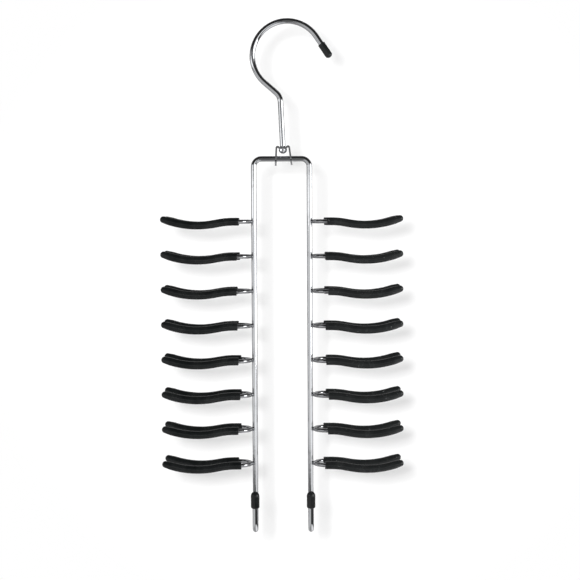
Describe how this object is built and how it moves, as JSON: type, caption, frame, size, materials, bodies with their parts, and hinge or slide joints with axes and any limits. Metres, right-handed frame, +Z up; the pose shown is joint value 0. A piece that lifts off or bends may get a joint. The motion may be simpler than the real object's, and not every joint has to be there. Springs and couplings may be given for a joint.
{
  "type": "tie hanger",
  "caption": "Chrome wire tie hanger: an open swivel hook, a stamped bracket, a U-shaped frame, rows of wavy sleeved hairpin arms on both rails and capped belt hooks at its feet.",
  "frame": {"origin": "the point inside the crown of the hook where the hanger rests on a closet rod", "axes": "+Z up; +X to the right as the hook's mouth opens; +Y away from the viewer, along the closet rod"},
  "size_m": [0.1729, 0.0319, 0.3691],
  "materials": {
    "chrome_wire": "bright chrome plate on drawn steel wire",
    "chrome_sheet": "bright chrome plate on stamped sheet",
    "black_sleeve": "satin black soft vinyl",
    "black_cap": "satin black soft vinyl"
  },
  "bodies": {
    "hook": {"hook_wire": "chrome_wire", "hook_cap": "black_cap"},
    "bracket": {"swivel_bracket": "chrome_sheet"},
    "frame": {"frame_wire": "chrome_wire", "left_end_cap": "black_cap", "right_end_cap": "black_cap", "left_arm_1": "chrome_wire", "left_arm_2": "chrome_wire", "left_arm_3": "chrome_wire", "left_arm_4": "chrome_wire", "left_arm_5": "chrome_wire", "left_arm_6": "chrome_wire", "left_arm_7": "chrome_wire", "left_arm_8": "chrome_wire", "right_arm_1": "chrome_wire", "right_arm_2": "chrome_wire", "right_arm_3": "chrome_wire", "right_arm_4": "chrome_wire", "right_arm_5": "chrome_wire", "right_arm_6": "chrome_wire", "right_arm_7": "chrome_wire", "right_arm_8": "chrome_wire", "left_sleeve_1_front": "black_sleeve", "left_sleeve_1_rear": "black_sleeve", "left_sleeve_2_front": "black_sleeve", "left_sleeve_2_rear": "black_sleeve", "left_sleeve_3_front": "black_sleeve", "left_sleeve_3_rear": "black_sleeve", "left_sleeve_4_front": "black_sleeve", "left_sleeve_4_rear": "black_sleeve", "left_sleeve_5_front": "black_sleeve", "left_sleeve_5_rear": "black_sleeve", "left_sleeve_6_front": "black_sleeve", "left_sleeve_6_rear": "black_sleeve", "left_sleeve_7_front": "black_sleeve", "left_sleeve_7_rear": "black_sleeve", "left_sleeve_8_front": "black_sleeve", "left_sleeve_8_rear": "black_sleeve", "right_sleeve_1_front": "black_sleeve", "right_sleeve_1_rear": "black_sleeve", "right_sleeve_2_front": "black_sleeve", "right_sleeve_2_rear": "black_sleeve", "right_sleeve_3_front": "black_sleeve", "right_sleeve_3_rear": "black_sleeve", "right_sleeve_4_front": "black_sleeve", "right_sleeve_4_rear": "black_sleeve", "right_sleeve_5_front": "black_sleeve", "right_sleeve_5_rear": "black_sleeve", "right_sleeve_6_front": "black_sleeve", "right_sleeve_6_rear": "black_sleeve", "right_sleeve_7_front": "black_sleeve", "right_sleeve_7_rear": "black_sleeve", "right_sleeve_8_front": "black_sleeve", "right_sleeve_8_rear": "black_sleeve"}
  },
  "joints": [
    {"name": "hook_swivel", "type": "hinge", "parent": "hook", "child": "bracket", "pos_m": [-0.00347, 0, -0.08943], "axis": [-0.0454, 0, 0.999], "continuous": true},
    {"name": "frame_swing", "type": "hinge", "parent": "bracket", "child": "frame", "pos_m": [-0.00316, 0, -0.09638], "axis": [1, 0, 0], "range_deg": [-150, 150]}
  ]
}
